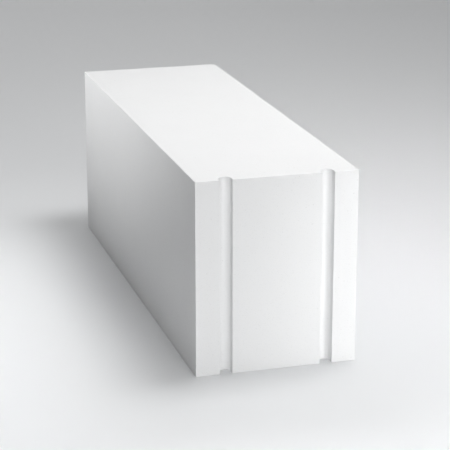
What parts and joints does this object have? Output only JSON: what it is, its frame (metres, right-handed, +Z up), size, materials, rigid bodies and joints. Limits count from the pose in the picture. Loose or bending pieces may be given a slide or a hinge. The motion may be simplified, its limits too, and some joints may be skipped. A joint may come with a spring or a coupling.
{
  "type": "aerated concrete block",
  "caption": "Solid rectangular wall block of white aerated concrete with crisp sawn edges and upright round-bottomed grooves in one end, laid in courses to build walls.",
  "frame": {"origin": "middle of the bed face, which the block stands on", "axes": "+X across the wall, +Y along the block away from its grooved end, +Z up"},
  "size_m": [0.2, 0.625, 0.24],
  "materials": {
    "aerated_concrete": "matte, fine-pored, sawn"
  },
  "bodies": {
    "root": {"block": "aerated_concrete"}
  },
  "joints": []
}
